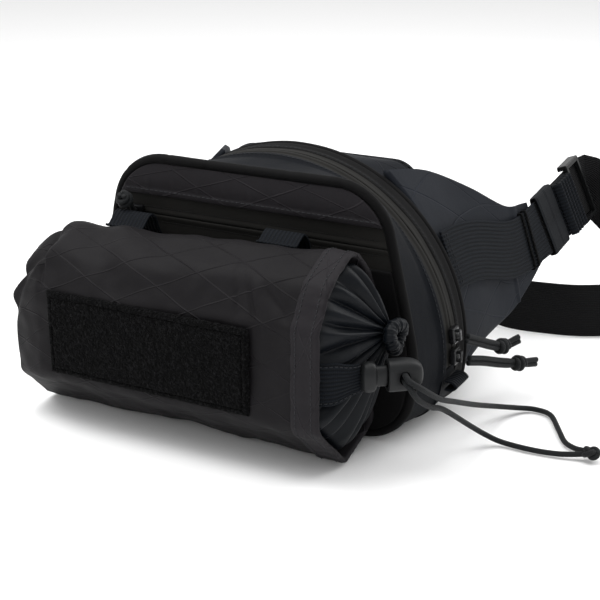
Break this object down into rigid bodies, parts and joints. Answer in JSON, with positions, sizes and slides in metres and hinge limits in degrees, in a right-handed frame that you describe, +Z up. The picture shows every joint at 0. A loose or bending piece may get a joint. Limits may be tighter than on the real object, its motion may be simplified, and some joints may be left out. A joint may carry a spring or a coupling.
{
  "type": "waist pack",
  "caption": "Waist pack with an arched zip, front pocket, front sleeve holding a drawcord stuff sack, side wings and a buckled webbing belt.",
  "frame": {"origin": "on the flat base of the rear half of the body, midway between its sides", "axes": "+Y towards the wearer, through the back panel; +Z up; +X to the side where the zip pulls and the sack's mouth are"},
  "size_m": [0.3892, 0.3661, 0.1543],
  "materials": {
    "ripstop": "smooth ripstop with a raised diagonal grid",
    "gusset_cloth": "smooth woven",
    "zip_tape": "matt woven tape",
    "coil_plastic": "coil teeth",
    "webbing": "ribbed webbing",
    "hook_and_loop": "fuzzy loop pile",
    "sack_satin": "thin satin nylon",
    "black_plastic": "satin",
    "slider_metal": "dark satin",
    "shock_cord": "braided",
    "foam": "closed-cell foam",
    "spacer_mesh": "knitted spacer mesh"
  },
  "bodies": {
    "rear_shell": {"rear_gusset": "ripstop", "rear_piping": "ripstop", "rear_yoke": "ripstop", "back_panel": "gusset_cloth", "back_foam": "foam", "back_mesh": "spacer_mesh", "main_zip_tape_rear": "zip_tape", "main_zip_coil_rear": "coil_plastic", "wing_left": "gusset_cloth", "wing_right": "gusset_cloth", "wing_webbing_left": "webbing", "wing_webbing_right": "webbing", "zip_tab_left": "webbing", "zip_tab_right": "webbing", "elastic_sleeve_left": "webbing", "elastic_sleeve_right": "webbing", "strap_roll_left": "webbing", "strap_roll_right": "webbing", "belt_strap_right": "webbing", "belt_strap_left": "webbing", "buckle_female": "black_plastic", "belt_keeper": "webbing"},
    "front_half": {"front_gusset": "gusset_cloth", "front_piping": "ripstop", "front_panel_upper": "ripstop", "front_panel_lower": "hook_and_loop", "pocket_tape_upper": "zip_tape", "pocket_tape_lower": "zip_tape", "pocket_coil": "coil_plastic", "pocket_lining": "gusset_cloth", "main_zip_tape_front": "zip_tape", "main_zip_coil_front": "coil_plastic", "sleeve": "ripstop", "sleeve_hem": "ripstop", "loop_patch": "hook_and_loop", "sleeve_strap_left": "webbing", "sleeve_strap_right": "webbing"},
    "zip_slider_lower": {"main_slider_lower": "slider_metal"},
    "zip_slider_upper": {"main_slider_upper": "slider_metal"},
    "zip_pull_lower": {"main_pull_lower": "shock_cord"},
    "zip_pull_upper": {"main_pull_upper": "shock_cord"},
    "pocket_zip_slider": {"pocket_slider": "slider_metal"},
    "pocket_zip_pull": {"pocket_pull": "shock_cord"},
    "sack": {"stuff_sack": "sack_satin", "sack_channel": "sack_satin", "sack_tab": "webbing", "cord_strand_a": "shock_cord", "cord_strand_b": "shock_cord", "cord_knot": "shock_cord"},
    "lock_barrel": {"cord_lock": "black_plastic", "lock_spring": "slider_metal"},
    "lock_plunger": {"lock_button": "black_plastic"},
    "buckle_plug": {"buckle_male": "black_plastic", "buckle_strap": "webbing"},
    "plug_arm_upper": {"buckle_arm_upper": "black_plastic"},
    "plug_arm_lower": {"buckle_arm_lower": "black_plastic"},
    "glide_left": {"tri_glide_left": "black_plastic"},
    "glide_right": {"tri_glide_right": "black_plastic"}
  },
  "joints": [
    {"name": "front_opens", "type": "hinge", "parent": "rear_shell", "child": "front_half", "pos_m": [0, -0.012, 0], "axis": [1, 0, 0], "range_deg": [0, 50]},
    {"name": "lower_slider_runs", "type": "hinge", "parent": "rear_shell", "child": "zip_slider_lower", "pos_m": [0, -0.012, 0.04], "axis": [0, -1, 0], "range_deg": [0, 80]},
    {"name": "upper_slider_runs", "type": "hinge", "parent": "zip_slider_lower", "child": "zip_slider_upper", "pos_m": [0, -0.012, 0.04], "axis": [0, -1, 0], "range_deg": [0, 85]},
    {"name": "lower_pull_swings", "type": "hinge", "parent": "zip_slider_lower", "child": "zip_pull_lower", "pos_m": [0.11746, -0.012, 0.04308], "axis": [0, 1, 0], "range_deg": [0, 25]},
    {"name": "upper_pull_swings", "type": "hinge", "parent": "zip_slider_upper", "child": "zip_pull_upper", "pos_m": [0.11636, -0.012, 0.05635], "axis": [0, 1, 0], "range_deg": [-35, 0]},
    {"name": "pocket_zip_slides", "type": "slide", "parent": "front_half", "child": "pocket_zip_slider", "axis": [1, 0, 0], "range_m": [0, 0.15]},
    {"name": "pocket_pull_swings", "type": "hinge", "parent": "pocket_zip_slider", "child": "pocket_zip_pull", "pos_m": [-0.075, -0.0615, 0.1165], "axis": [0, 0, 1], "range_deg": [-30, 30]},
    {"name": "sack_pulls_out", "type": "slide", "parent": "front_half", "child": "sack", "axis": [1, 0, 0], "range_m": [0, 0.19]},
    {"name": "lock_slides_on_cords", "type": "slide", "parent": "sack", "child": "lock_barrel", "axis": [0.6402, -0.7682, 0], "range_m": [0, 0.003]},
    {"name": "lock_button_presses", "type": "slide", "parent": "lock_barrel", "child": "lock_plunger", "axis": [0.7682, 0.6402, 0], "range_m": [0, 0.004], "stiffness_N_per_m": 400, "deforming": ["lock_spring"]},
    {"name": "buckle_parts", "type": "slide", "parent": "rear_shell", "child": "buckle_plug", "axis": [-1, 0, 0], "range_m": [0, 0.03]},
    {"name": "upper_arm_squeezes", "type": "hinge", "parent": "buckle_plug", "child": "plug_arm_upper", "pos_m": [-0.0005, 0.146, 0.0367], "axis": [0, 1, 0], "range_deg": [0, 6], "stiffness_Nm_per_rad": 0.4},
    {"name": "lower_arm_squeezes", "type": "hinge", "parent": "buckle_plug", "child": "plug_arm_lower", "pos_m": [-0.0005, 0.146, 0.0137], "axis": [0, -1, 0], "range_deg": [0, 6], "stiffness_Nm_per_rad": 0.4},
    {"name": "left_glide_slides", "type": "slide", "parent": "rear_shell", "child": "glide_left", "axis": [-0.0133, 0.9678, -0.2512], "range_m": [-0.003, 0]},
    {"name": "right_glide_slides", "type": "slide", "parent": "rear_shell", "child": "glide_right", "axis": [0.0395, 0.9884, 0.1464], "range_m": [-0.003, 0]}
  ]
}
